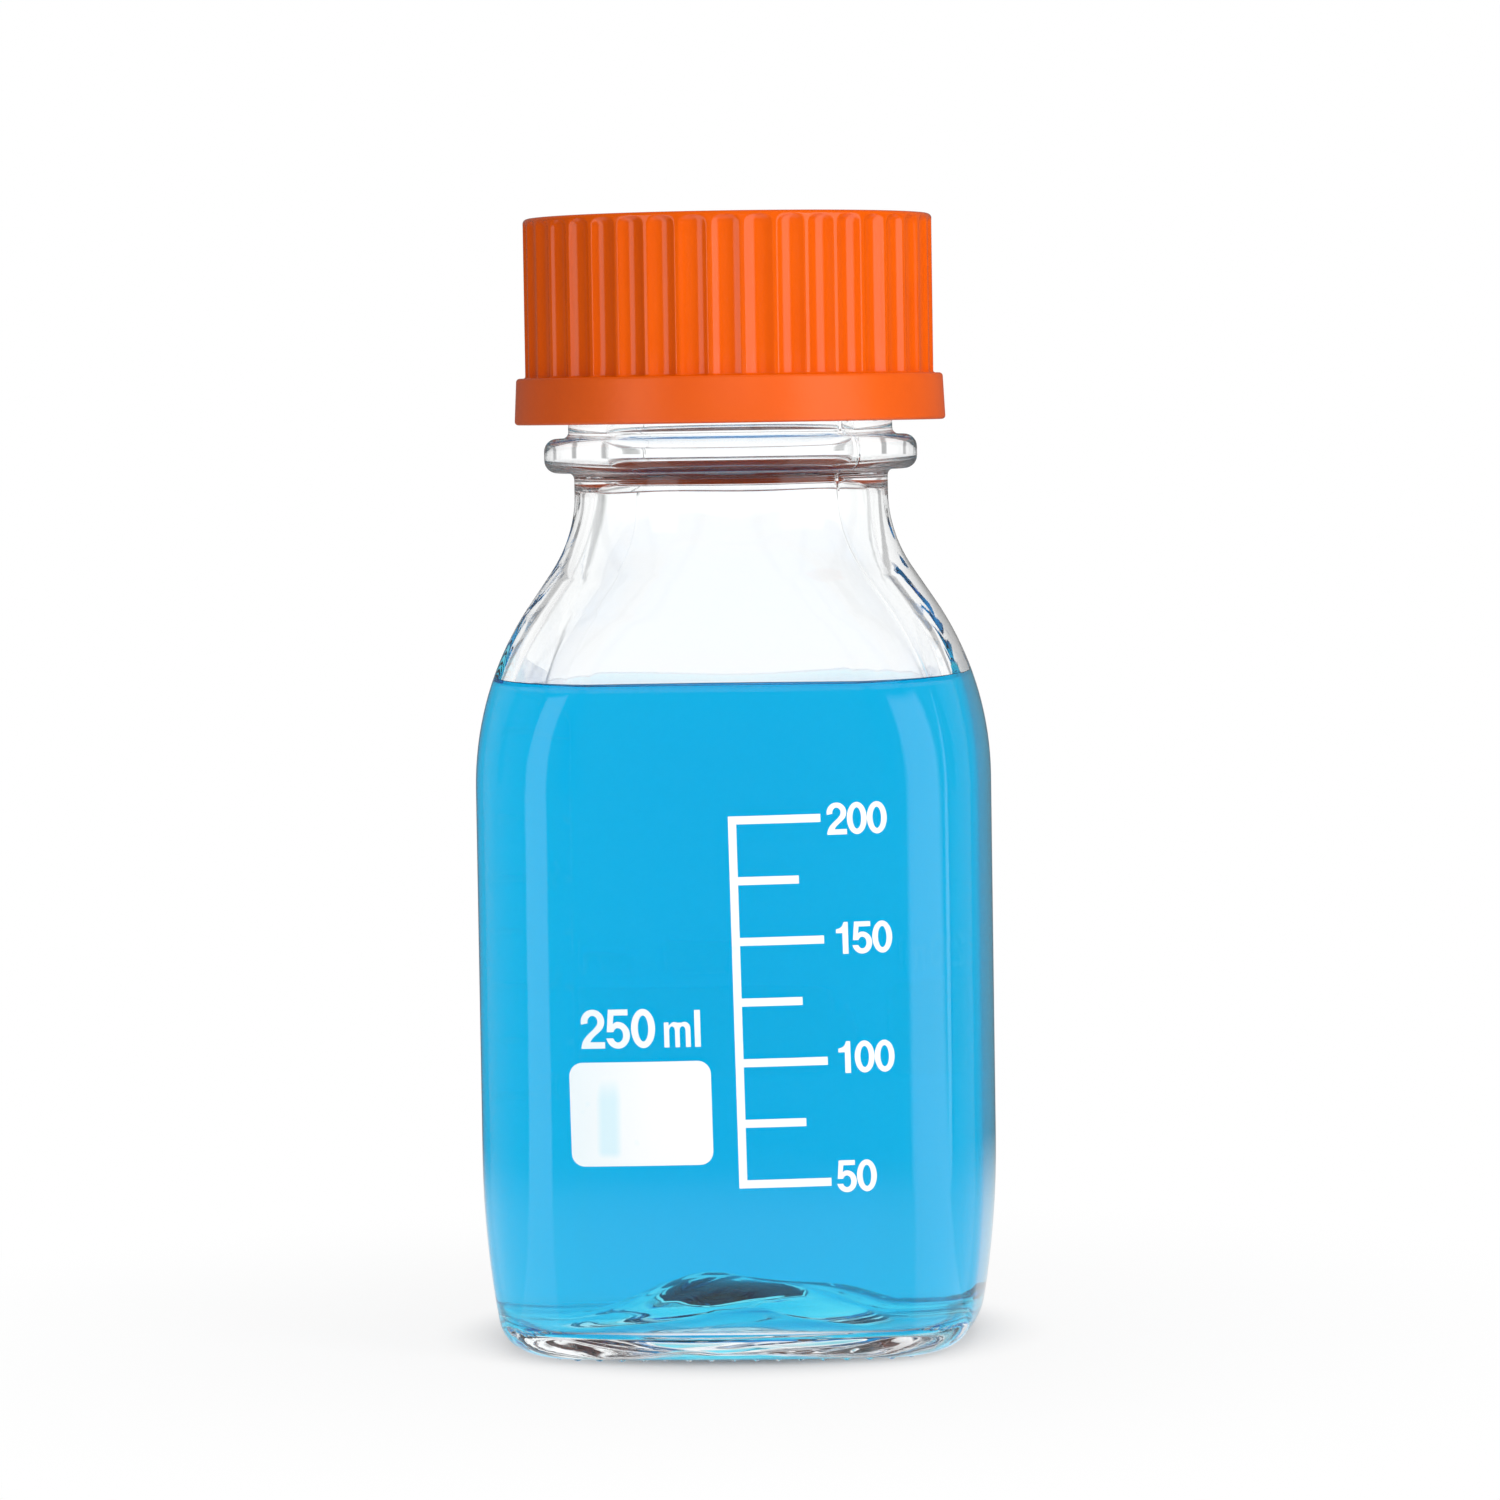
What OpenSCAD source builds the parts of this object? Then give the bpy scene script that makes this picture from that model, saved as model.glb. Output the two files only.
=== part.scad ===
// Square media bottle: a glass bottle with a square body and a round screw neck, filled with a blue liquid,
// with its pouring ring, screw cap and seal liner. Sizes are in millimetres.
// The foot stands on z = 0, the neck's axis is the Z axis and the printed panel faces -Y.

/* [Body] */
// Width across the flats of the body
body_w = 64; // [61:0.5:68]
// Radius of the four upright corners
corner_r = 13; // [10:0.5:16]
// Radius of the slight outward curve of each panel, seen from above
crown_r = 150; // [120:5:300]
// Height where the sides start to draw in towards the foot
waist_z = 24; // [18:0.5:32]
// Radius of the long curve that draws the sides in
waist_r = 116; // [90:2:160]
// Radius of the heel, where the sides turn under
heel_r = 5.2; // [4:0.1:7]
// Width of the flat ring that the bottle stands on
foot_w = 2; // [1.5:0.1:3]
// Rise of the hollow under the base, at its centre
push_up = 4; // [2:0.1:5]

/* [Shoulder] */
// Height of the top of the shoulder, where the neck starts
shoulder_z = 105.6; // [101:0.2:112]
// Slope of the shoulder, in degrees from upright
shoulder_slope = 34; // [31:0.5:36]
// Radius of the hollow curve from the neck to the shoulder
hollow_r = 17.5; // [12:0.5:20]
// Radius of the round curve from the shoulder to the body
round_r = 39.5; // [28:0.5:42]

/* [Glass] */
// Thickness of the walls and the shoulder
wall = 2.4; // [2:0.1:3.4]
// Thickness of the base beside the heel
base_t = 4.6; // [4:0.1:6]
// Rise of the floor inside, at its centre
floor_rise = 5.5; // [3:0.1:7]
// Radius between the inside of the walls and the floor
floor_r = 4.5; // [3:0.1:6]

/* [Neck] */
// Diameter of the neck between the shoulder and the bead
neck_d = 39.2; // [37.5:0.1:40]
// Diameter of the bore through the neck
mouth_d = 31.2; // [29:0.1:32]
// Height of the plain neck below the bead
neck_h = 2.8; // [2:0.1:5]
// Diameter of the bead, the thick ring below the cap
bead_d = 46.6; // [44:0.1:50]
// Height of the bead
bead_h = 4.3; // [3.6:0.1:5]
// Radius of the bead's rounded edges
bead_edge_r = 1.6; // [1:0.1:1.75]
// Height of the screw finish, from the bead to the glass lip
finish_h = 23.1; // [22.6:0.1:25]
// Diameter of the finish at the root of its thread
finish_d = 40.5; // [40:0.1:41.4]
// Radius of the rounded edges of the glass lip
lip_edge_r = 0.8; // [0.4:0.1:1]

/* [Thread] */
// Outer diameter of the thread on the glass
thread_d = 44.6; // [44:0.1:45]
// Pitch of the thread
pitch = 4; // [3.8:0.1:4.4]
// Height of the first turn's centre above the bead
thread_start = 6; // [5:0.1:7]
// Turns of the thread on the glass
neck_turns = 2; // [1.5:0.25:2.25]
// Turns of the thread in the cap
cap_turns = 1.75; // [1.25:0.25:2]
// Height of one thread ridge at its root
ridge_w = 1.9; // [1.5:0.1:2]
// Radial gap between each thread's crest and the other thread's root
thread_gap = 0.45; // [0.35:0.05:0.6]

/* [Pouring ring] */
// Diameter of the glass inside the pouring ring
ring_seat_d = 37.8; // [37:0.1:38]
// Thickness of the ring's skirt
ring_wall = 1.2; // [0.9:0.05:1.25]
// Thickness of the ring where it covers the lip
ring_top_t = 0.9; // [0.7:0.1:1.2]
// Height of the whole ring
ring_h = 6.5; // [5.5:0.1:7]
// Gap between pieces that sit on each other
seat_gap = 0.05; // [0.03:0.01:0.1]

/* [Seal liner] */
// Thickness of the liner
liner_t = 1.2; // [0.8:0.1:1.6]
// Gap between the liner's rim and the wall of the cap
liner_gap = 0.6; // [0.4:0.1:0.8]

/* [Screw cap] */
// Diameter over the grip ridges
cap_d = 51; // [50:0.1:53]
// Height of the cap
cap_h = 25.6; // [24:0.1:26.6]
// Thickness of the cap's top
cap_top_t = 2; // [1.6:0.1:2.6]
// Radius of the rim round the top
rim_r = 1; // [0.6:0.1:1.3]
// Diameter of the band round the bottom edge, at its foot
band_d = 53.8; // [53.4:0.1:56]
// How much narrower the band is at its top
band_taper = 0.5; // [0.2:0.1:0.8]
// Height of the band
band_h = 5.8; // [4:0.1:8]
// Radius of the band's rounded edges
band_edge_r = 0.4; // [0.2:0.1:0.6]
// Depth of the relief inside the band, clear of the glass thread
skirt_relief = 0.5; // [0.3:0.1:0.9]
// Number of flutes round the grip
flutes = 40; // [32:2:48]
// Depth of each flute
flute_depth = 0.6; // [0.4:0.05:0.8]
// Width of the ridge left between two flutes
ridge_land = 0.35; // [0.25:0.05:0.6]
// Radius of the rounded corners at the top of each flute
flute_top_r = 1.2; // [0.8:0.1:1.6]
// Gap between the top of the cap and the top of the flutes
flute_margin = 0.7; // [0.5:0.1:1.2]
// Turn of the grip pattern about the axis, in degrees
flute_phase = -1.9; // [-4.5:0.1:4.5]

/* [Liquid] */
// Height of the liquid's surface above the ground
fill_z = 82.8; // [40:0.2:88]
// Gap between the liquid's solid and the glass
fill_gap = 0.1; // [0.05:0.05:0.2]

/* [Print] */
// Height of the lowest graduation
scale_z = 22.8; // [18:0.2:26]
// Distance between two graduations
scale_step = 7.33; // [6:0.05:7.6]
// Number of graduations
scale_marks_n = 7; // [4:1:7]
// Width of the printed lines
line_w = 0.98; // [0.6:0.02:1.4]
// Distance of the scale's upright line from the middle of the panel
scale_x = 1.9; // [-2:0.1:4]
// Length of the long graduations
long_mark = 11.1; // [8:0.1:12]
// Length of the short graduations
short_mark = 8.3; // [5:0.1:10]
// Turn of the print on the panel, in degrees
print_turn = 0.9; // [-1:0.1:1.5]
// Width of the marking field
field_w = 17.2; // [12:0.2:18]
// Height of the marking field
field_h = 12.6; // [8:0.2:16]
// Corner radius of the marking field
field_r = 1.6; // [0.8:0.1:3]
// Height of the middle of the marking field
field_z = 31.6; // [28:0.2:44]
// Distance of the marking field's middle from the middle of the panel, to the left
field_x = 10.2; // [9.8:0.1:11]
// Thickness of the print
print_t = 0.12; // [0.1:0.01:0.2]
// Gap between the print's solid and the glass
print_gap = 0.02; // [0.01:0.01:0.05]

/* [Hidden] */
$fn = 96;
glass = [0.86, 0.92, 0.94, 0.45];
orange = "#e85a0c";
blue = "#17a8dc";

// Derived radii
body_half = body_w/2;
neck_r = neck_d/2;
mouth_r = mouth_d/2;
bead_r = bead_d/2;
finish_r = finish_d/2;
ring_seat_r = ring_seat_d/2;
thread_depth = thread_d/2 - finish_r;
cap_inner_r = thread_d/2 + thread_gap;
cap_r = cap_d/2;

// Derived heights, from the shoulder up to the top of the cap
bead_z = shoulder_z + neck_h;
bead_top_z = bead_z + bead_h;
lip_z = bead_top_z + finish_h;
ring_top_z = lip_z + seat_gap + ring_top_t;
liner_z = ring_top_z + seat_gap;
ceiling_z = liner_z + liner_t + seat_gap;
cap_top_z = ceiling_z + cap_top_t;
cap_z = cap_top_z - cap_h;
band_z = cap_z + band_h;
thread_z = bead_top_z + thread_start;
thread_end_z = thread_z + pitch*neck_turns;
ring_z = ring_top_z - ring_h;

// Points on an arc
function arc(cx, cy, r, from, to, n) =
    [for (i = [0:n]) let (a = from + (to - from)*i/n) [cx + r*cos(a), cy + r*sin(a)]];

// A smooth bulge: 1 at the middle, 0 at the edge, level at both
function bulge(t) = (1 + cos(180*t))/2;

// ---- Side line of the body, as [half width, height] from the neck down ----

// A shoulder is an arc, a straight slope and another arc, each running smoothly into the next.
function slope_start(r, top_r, top_z) =
    [top_r + r*(1 - cos(shoulder_slope)), top_z - r*sin(shoulder_slope)];
function slope_end_z(half, r_round, start) =
    start.y - (half - r_round*(1 - cos(shoulder_slope)) - start.x)/tan(shoulder_slope);
function shoulder_line(half, top_r, top_z, r_hollow, r_round, n) = let (
        start = slope_start(r_hollow, top_r, top_z),
        end_z = slope_end_z(half, r_round, start),
        round_z = end_z - r_round*sin(shoulder_slope))
    concat(
        arc(top_r + r_hollow, top_z, r_hollow, 180, 180 + shoulder_slope, n),
        arc(half - r_round, round_z, r_round, shoulder_slope, 0, n));

// The sides draw in along a long arc and turn under along a short one that ends level at foot_z.
function lean(long_r, short_r, foot_z) = asin((waist_z - foot_z - short_r)/(long_r - short_r));
function foot_line(half, long_r, short_r, foot_z, n) = let (
        a = lean(long_r, short_r, foot_z),
        heel_x = half - (long_r - short_r)*(1 - cos(a)) - short_r)
    concat(
        arc(half - long_r, waist_z, long_r, 0, -a, 4),
        [for (p = arc(heel_x, foot_z + short_r, short_r, -a, -90, n)) if (p.y < waist_z) p]);

inner_half = body_half - wall;
outer_start = slope_start(hollow_r, neck_r, shoulder_z);
inner_start_x = slope_start(hollow_r + wall, mouth_r, 0).x;
// The bore starts where it leaves the sloping wall parallel to the outside of the shoulder.
bore_z = outer_start.y + (hollow_r + wall)*sin(shoulder_slope)
    - (wall + (inner_start_x - outer_start.x)*cos(shoulder_slope))/sin(shoulder_slope);

outer_shoulder = shoulder_line(body_half, neck_r, shoulder_z, hollow_r, round_r, 6);
outer_foot = foot_line(body_half, waist_r, heel_r, 0, 6);
inner_shoulder = shoulder_line(inner_half, mouth_r, bore_z, hollow_r + wall, round_r - wall, 6);
inner_foot = foot_line(inner_half, waist_r - wall, floor_r, base_t, 5);

// ---- Cross-section: a square with curved panels and round corners, as a radius at each angle ----

SIDES = 8; // points in each eighth of a turn
function eighth(j) = 45*(j/SIDES + sin(90*j/SIDES))/2;
function turn(k) = let (o = floor(k/SIDES), j = k - o*SIDES)
    45*o + (o%2 == 0 ? eighth(j) : 45 - eighth(SIDES - j));
function folded(t) = let (m = t%90) m > 45 ? 90 - m : m;
function reach(half, r, t) = let (
        a = half - crown_r,
        c = (a + sqrt(2*pow(crown_r - r, 2) - a*a))/2,
        joint = atan2(crown_r*c/(crown_r - r), a + crown_r*(c - a)/(crown_r - r)),
        d = c*sqrt(2))
    t <= joint ? a*cos(t) + sqrt(pow(crown_r, 2) - pow(a*sin(t), 2))
               : d*cos(45 - t) + sqrt(r*r - pow(d*sin(45 - t), 2));
function section(s) =
    [for (k = [0:8*SIDES - 1]) let (t = turn(k), q = reach(s[0], s[2], folded(t))) [q*cos(t), q*sin(t), s[1]]];

// The corners grow into a circle up the shoulder and shrink with the width below it.
function shoulder_sections(line, top_r, half, r) =
    [for (p = line) [p.x, p.y, r + (top_r - r)*(half - p.x)/(half - top_r)]];
function foot_sections(line, half, r) = [for (p = line) [p.x, p.y, r - (half - p.x)]];
// The middle of the base keeps the shape of the foot as it narrows.
function dome_sections(edge, rise) = [for (t = [0.8:-0.2:0.2])
    [edge[0]*t, edge[1] + rise*bulge(t), edge[2]*t]];
function narrowed(s, by) = [s[0] - by, s[1], s[2] - by];
function last(list) = list[len(list) - 1];

module skin(sections) {
    n = 8*SIDES;
    rows = len(sections);
    points = [for (s = sections) each section(s)];
    sides = [for (i = [0:rows - 2], k = [0:n - 1]) let (a = i*n + k, b = i*n + (k + 1)%n)
        each [[a, b, b + n], [a, b + n, a + n]]];
    polyhedron(points, concat([[for (k = [n - 1:-1:0]) k]], sides, [[for (k = [0:n - 1]) (rows - 1)*n + k]]));
}

outer_foot_sections = foot_sections(outer_foot, body_half, corner_r);
ring_inside = narrowed(last(outer_foot_sections), foot_w);
outer_sections = concat(
    shoulder_sections(outer_shoulder, neck_r, body_half, corner_r),
    outer_foot_sections, [ring_inside], dome_sections(ring_inside, push_up));
inner_foot_sections = foot_sections(inner_foot, inner_half, corner_r - wall);
cavity_low = concat(inner_foot_sections, dome_sections(last(inner_foot_sections), floor_rise));
cavity_sections = concat(shoulder_sections(inner_shoulder, mouth_r, inner_half, corner_r - wall), cavity_low);

// ---- Thread: a ridge of half-round section that winds up a cylinder ----

// out is 1 for a ridge outside a cylinder, -1 for one inside a bore. The ends run out over one tenth of a turn.
module ridge(root_r, out, z, turns) {
    steps = ceil(turns*24);
    sink = 0.35;
    bulges = 5;
    loop = bulges + 2;
    points = [for (i = [0:steps]) let (
            along = i/steps*turns,
            a = 360*along,
            h = thread_depth*min(1, 0.15 + 10*min(along, turns - along)))
        each [for (p = concat([[-sink, 0.5*ridge_w], [-sink, -0.5*ridge_w]],
                [for (j = [1:bulges]) let (b = 180*(j - 0.5)/bulges) [h*sin(b), -0.5*ridge_w*cos(b)]]))
            let (r = root_r + out*p.x) [r*cos(a), r*sin(a), z + pitch*along + p.y]]];
    sides = [for (i = [0:steps - 1], j = [0:loop - 1]) let (p = i*loop + j, q = i*loop + (j + 1)%loop)
        each [[p, q, q + loop], [p, q + loop, p + loop]]];
    faces = concat(
        [[for (j = [0:loop - 1]) loop - 1 - j]], sides, [[for (j = [0:loop - 1]) steps*loop + j]]);
    polyhedron(points, out > 0 ? faces : [for (f = faces) [for (j = [len(f) - 1:-1:0]) f[j]]]);
}

// ---- Pieces ----

// Outline of the neck, with the bead, the thread's root, the seat of the pouring ring and the lip
function neck_outline() = concat(
    [[0, shoulder_z], [neck_r, shoulder_z], [neck_r, bead_z]],
    arc(bead_r - bead_edge_r, bead_z + bead_edge_r, bead_edge_r, -90, 0, 5),
    arc(bead_r - bead_edge_r, bead_top_z - bead_edge_r, bead_edge_r, 0, 90, 5),
    [[finish_r, bead_top_z], [finish_r, thread_end_z + ridge_w/2], [ring_seat_r, thread_end_z + 1.2*ridge_w]],
    arc(ring_seat_r - lip_edge_r, lip_z - lip_edge_r, lip_edge_r, 0, 90, 4),
    [[0, lip_z]]);

module bottle() {
    bite = 1;
    color(glass) difference() {
        union() {
            rotate_extrude() polygon(neck_outline());
            // The top of the shoulder is a hair narrower than the neck, so that the two faces stay apart.
            skin([for (s = outer_sections) s[1] == shoulder_z ? narrowed(s, seat_gap) : s]);
            ridge(finish_r, 1, thread_z, neck_turns);
        }
        skin([for (s = cavity_sections) s[1] == bore_z ? narrowed(s, -2*seat_gap) : s]);
        translate([0, 0, bore_z - bite]) cylinder(r = mouth_r, h = lip_z - bore_z + 2*bite);
    }
}

module pouring_ring() {
    inside_r = ring_seat_r + seat_gap;
    outside_r = inside_r + ring_wall;
    spout_r = mouth_r - ring_wall/2;
    color(orange) rotate_extrude() polygon(concat(
        [[inside_r, ring_z], [outside_r, ring_z]],
        arc(outside_r - ring_top_t, ring_top_z - ring_top_t, ring_top_t, 0, 90, 4),
        arc(spout_r + ring_top_t/2, ring_top_z - ring_top_t/2, ring_top_t/2, 90, 180, 3),
        [[spout_r, lip_z - 2*ring_top_t], [mouth_r - seat_gap, lip_z - 2*ring_top_t]],
        [[mouth_r - seat_gap, lip_z + seat_gap], [inside_r, lip_z + seat_gap]]));
}

module seal_liner() {
    color("#f2efe6") translate([0, 0, liner_z]) cylinder(r = cap_inner_r - liner_gap, h = liner_t);
}

flute_half_w = PI*cap_r/flutes - ridge_land/2;
flute_r = (pow(flute_half_w, 2)/flute_depth + flute_depth)/2;

// Tool that cuts one flute: an upright cylinder with a rounded top edge, which starts below the grip
module flute_tool() {
    foot = cap_z + band_edge_r;
    h = cap_top_z - flute_margin - foot;
    translate([cap_r + flute_r - flute_depth, 0, foot]) rotate_extrude($fn = 48)
        polygon(concat([[0, 0], [flute_r, 0]], arc(flute_r - flute_top_r, h - flute_top_r, flute_top_r, 0, 90, 3), [[0, h]]));
}

// Cuts every second flute, because the tools of two neighbours run into each other.
module every_second_flute(first) {
    difference() {
        children();
        for (i = [first:2:flutes - 1]) rotate([0, 0, 270 + flute_phase + (i + 0.5)*360/flutes]) flute_tool();
    }
}

// The fluted grip as a solid rod that reaches down into the band
module grip() {
    every_second_flute(0) every_second_flute(1) rotate_extrude() polygon(concat(
        [[0, band_z - band_h/2], [cap_r, band_z - band_h/2]],
        arc(cap_r - rim_r, cap_top_z - rim_r, rim_r, 0, 90, 5),
        [[0, cap_top_z]]));
}

module band() {
    band_r = band_d/2;
    rotate_extrude() polygon(concat(
        [[0, cap_z]],
        arc(band_r - band_edge_r, cap_z + band_edge_r, band_edge_r, -90, 0, 3),
        arc(band_r - band_taper/2 - band_edge_r, band_z - band_edge_r, band_edge_r, 0, 90, 3),
        [[0, band_z]]));
}

// The inside of the cap, wider at the bottom, where the glass thread's end passes
module cap_inside() {
    wide_r = cap_inner_r + skirt_relief;
    rotate_extrude() polygon([[0, cap_z - 1], [wide_r, cap_z - 1], [wide_r, band_z - 1],
        [cap_inner_r, band_z], [cap_inner_r, ceiling_z], [0, ceiling_z]]);
}

module screw_cap() {
    color(orange) union() {
        difference() {
            union() {
                band();
                grip();
            }
            cap_inside();
        }
        ridge(cap_inner_r, -1, thread_z + pitch/2, cap_turns);
    }
}

// The cavity's own sections, cut off at the level and drawn in by the gap
module liquid() {
    level = [for (s = cavity_sections) if (s[1] < fill_z) s];
    above = [for (s = cavity_sections) if (s[1] >= fill_z) s];
    upper = last(above);
    lower = level[0];
    t = (fill_z - lower[1])/(upper[1] - lower[1]);
    surface = [for (i = [0:2]) lower[i] + (upper[i] - lower[i])*t];
    color(blue) translate([0, 0, fill_gap]) skin([for (s = concat([surface], level)) narrowed(s, fill_gap)]);
}

// Cuts a thin skin that follows the curve of the front panel to the outline given, which lies on X and Z
module printed() {
    axis_y = crown_r - body_half;
    color("white") intersection() {
        translate([0, axis_y, 0]) difference() {
            cylinder(r = crown_r + print_gap + print_t, h = shoulder_z, $fn = 720);
            translate([0, 0, -1]) cylinder(r = crown_r + print_gap, h = shoulder_z + 2, $fn = 720);
        }
        rotate([90, 0, 0]) linear_extrude(body_w)
            translate([scale_x, scale_z]) rotate(print_turn) translate([-scale_x, -scale_z]) children();
    }
}

module scale_marks() {
    span = scale_step*(scale_marks_n - 1);
    printed() {
        translate([scale_x - line_w/2, scale_z - line_w/2]) square([line_w, span + line_w]);
        for (i = [0:scale_marks_n - 1])
            translate([scale_x - line_w/2, scale_z + i*scale_step - line_w/2])
                square([i%2 == 0 ? long_mark : short_mark, line_w]);
    }
}

module marking_field() {
    x = field_w/2 - field_r;
    z = field_h/2 - field_r;
    printed() translate([-field_x, field_z])
        polygon(concat(arc(x, z, field_r, 0, 90, 4), arc(-x, z, field_r, 90, 180, 4),
            arc(-x, -z, field_r, 180, 270, 4), arc(x, -z, field_r, 270, 360, 4)));
}

bottle();
pouring_ring();
seal_liner();
screw_cap();
liquid();
scale_marks();
marking_field();
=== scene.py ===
# Square media bottle: a glass bottle with a round screw neck, blue liquid, an orange cap and white print.
import bmesh
import bpy
import math
import numpy as np
from mathutils import Matrix, Vector


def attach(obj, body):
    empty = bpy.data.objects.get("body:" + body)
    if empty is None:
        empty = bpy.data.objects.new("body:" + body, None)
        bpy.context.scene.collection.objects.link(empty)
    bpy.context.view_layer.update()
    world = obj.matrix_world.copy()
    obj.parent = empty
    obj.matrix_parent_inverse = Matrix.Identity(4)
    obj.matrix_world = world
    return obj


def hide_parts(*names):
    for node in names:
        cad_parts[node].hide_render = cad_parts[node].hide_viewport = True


mm = 0.001  # sizes are written in millimetres and the scene is in metres
print("loading the frame")
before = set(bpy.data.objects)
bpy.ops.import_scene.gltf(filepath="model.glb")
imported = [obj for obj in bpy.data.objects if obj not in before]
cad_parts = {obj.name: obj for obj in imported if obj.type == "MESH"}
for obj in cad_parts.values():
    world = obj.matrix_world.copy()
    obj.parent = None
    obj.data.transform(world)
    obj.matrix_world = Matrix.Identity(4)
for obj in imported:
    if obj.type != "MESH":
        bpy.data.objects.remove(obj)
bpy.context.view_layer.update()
scene = bpy.context.scene


def hexColour(code):
    values = [int(code[i:i + 2], 16) / 255 for i in (1, 3, 5)]
    return [v / 12.92 if v <= 0.04045 else ((v + 0.055) / 1.055) ** 2.4 for v in values] + [1.0]


def addNode(tree, kind, settings=None):
    # a setting is a property of the node, a socket's value, or what feeds the socket: a node or one of its outputs
    node = tree.nodes.new(kind)
    for name, value in (settings or {}).items():
        if isinstance(value, bpy.types.Node):
            value = value.outputs[0]
        if isinstance(value, bpy.types.NodeSocket):
            tree.links.new(value, node.inputs[name])
        elif isinstance(name, str) and hasattr(node, name):
            setattr(node, name, value)
        else:
            node.inputs[name].default_value = value
    return node


def newMaterial(name):
    material = bpy.data.materials.new(name)
    material.use_nodes = True
    material.node_tree.nodes.clear()
    return material, material.node_tree


def perMetre(size):
    return 1000 / size  # scale of a texture whose features are this many millimetres wide


def arcPoints(cx, cz, radius, start, end, steps):
    angles = np.radians(np.linspace(start, end, steps + 1))
    return [(cx + radius * math.cos(a), cz + radius * math.sin(a)) for a in angles]


def makeObject(name, points, faces, material, bodyName, smooth=True):
    mesh = bpy.data.meshes.new(name)
    mesh.from_pydata([tuple(p) for p in np.asarray(points) * mm], [], faces)
    mesh.update()
    mesh.polygons.foreach_set("use_smooth", [smooth] * len(mesh.polygons))
    mesh.materials.append(material)
    obj = bpy.data.objects.new(name, mesh)
    scene.collection.objects.link(obj)
    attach(obj, bodyName)
    return obj


def loftObject(name, rings, material, bodyName):
    # closed skin through rings of equal count, in order round the material; a ring of one point ends it
    count = max(len(r) for r in rings)
    points, starts = [], []
    for ring in rings:
        starts.append(len(points))
        points.extend(ring)
    faces = []
    for a, b, ringA, ringB in zip(starts, starts[1:], rings, rings[1:]):
        for k in range(count):
            n = (k + 1) % count
            if len(ringA) == 1:
                faces.append((a, b + n, b + k))
            elif len(ringB) == 1:
                faces.append((a + k, a + n, b))
            else:
                faces.append((a + k, a + n, b + n, b + k))
    return makeObject(name, points, faces, material, bodyName)


def roundRing(radius, z, angles):
    radius = np.broadcast_to(radius, angles.shape)
    z = np.broadcast_to(z, angles.shape)
    return np.column_stack([radius * np.cos(angles), radius * np.sin(angles), z])


def centrePoint(z):
    return np.array([[0.0, 0.0, z]])


# the bottle: body, shoulder, cavity, neck, screw thread, standing ring and mould seams
body = dict(half=32.0, cornerR=13.0, crownR=150.0, waistZ=24.0, waistR=116.0, heelR=5.2, footW=2.0, pushUp=2.4)
shoulder = dict(z=105.6, slope=34.0, hollowR=17.5, roundR=39.5)
inside = dict(wall=2.4, neckR=17.2, flareZ=110.5, baseT=3.8, floorRise=5.6, floorR=4.5, ripple=0.35, dapple=1.9,
              markR=4.2, markH=0.4)
neck = dict(r=19.6, mouthR=15.6, z=108.4, topZ=112.7, beadR=23.3, edgeR=1.6, filletR=0.8,
            finishR=20.25, lipZ=135.8, seatR=18.9, lipEdgeR=0.8, innerEdgeR=0.6)
thread = dict(depth=2.05, pitch=4.0, width=1.9, neckZ=118.7, neckTurns=2.0, capZ=120.7, capTurns=1.75, endZ=126.7)
foot = dict(bumps=64, bumpR=0.6, bumpH=0.45)
seam = dict(angles=(315, 135), width=0.2, height=0.14)  # down two opposite corners, in degrees from +X


def sectionRing(half, cornerR, z, angles, lift=0.0):
    # square with curved panels and round corners
    crownR = body["crownR"]
    a = half - crownR
    c = (a + math.sqrt(max(0.0, 2 * (crownR - cornerR) ** 2 - a * a))) / 2
    joint = math.atan2(crownR * c / (crownR - cornerR), a + crownR * (c - a) / (crownR - cornerR))
    folded = np.mod(angles, math.pi / 2)
    folded = np.minimum(folded, math.pi / 2 - folded)
    d = c * math.sqrt(2)
    panel = a * np.cos(folded) + np.sqrt(np.maximum(0, crownR ** 2 - (a * np.sin(folded)) ** 2))
    away = math.pi / 4 - folded
    corner = d * np.cos(away) + np.sqrt(np.maximum(0, cornerR ** 2 - (d * np.sin(away)) ** 2))
    return roundRing(np.where(folded <= joint, panel, corner) + lift, z, angles)


def shoulderLine(half, topR, topZ, hollowR, roundR, hollowSteps, roundSteps):
    # hollow below the neck, then straight, then round into the side
    slope = math.radians(shoulder["slope"])
    startX = topR + hollowR * (1 - math.cos(slope))
    startZ = topZ - hollowR * math.sin(slope)
    endX = half - roundR * (1 - math.cos(slope))
    endZ = startZ - (endX - startX) / math.tan(slope)
    line = arcPoints(topR + hollowR, topZ, hollowR, 180, 180 + shoulder["slope"], hollowSteps)
    line += arcPoints(half - roundR, endZ - roundR * math.sin(slope), roundR, shoulder["slope"], 0, roundSteps)
    return line


def footLine(half, longR, shortR, footZ, longSteps, shortSteps):
    # a long arc draws the side in and a short one turns it under
    lean = math.asin((body["waistZ"] - footZ - shortR) / (longR - shortR))
    heelX = half - (longR - shortR) * (1 - math.cos(lean)) - shortR
    line = arcPoints(half - longR, body["waistZ"], longR, 0, -math.degrees(lean), longSteps)
    return line + arcPoints(heelX, footZ + shortR, shortR, -math.degrees(lean), -90, shortSteps)[1:]


def shoulderSections(line, topR, half, cornerR):
    # from a circle at the neck to the square of the body
    return [(x, z, cornerR + (topR - cornerR) * (half - x) / (half - topR)) for x, z in line]


def footSections(line, half, cornerR):
    return [(x, z, cornerR - (half - x)) for x, z in line]


def domeSections(edge, rise, steps):
    # smooth rise from the edge to the middle
    shares = [t / steps for t in range(steps - 1, 0, -1)]
    return [(edge[0] * t, edge[1] + rise * (1 + math.cos(math.pi * t)) / 2, edge[2] * t) for t in shares]


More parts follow.
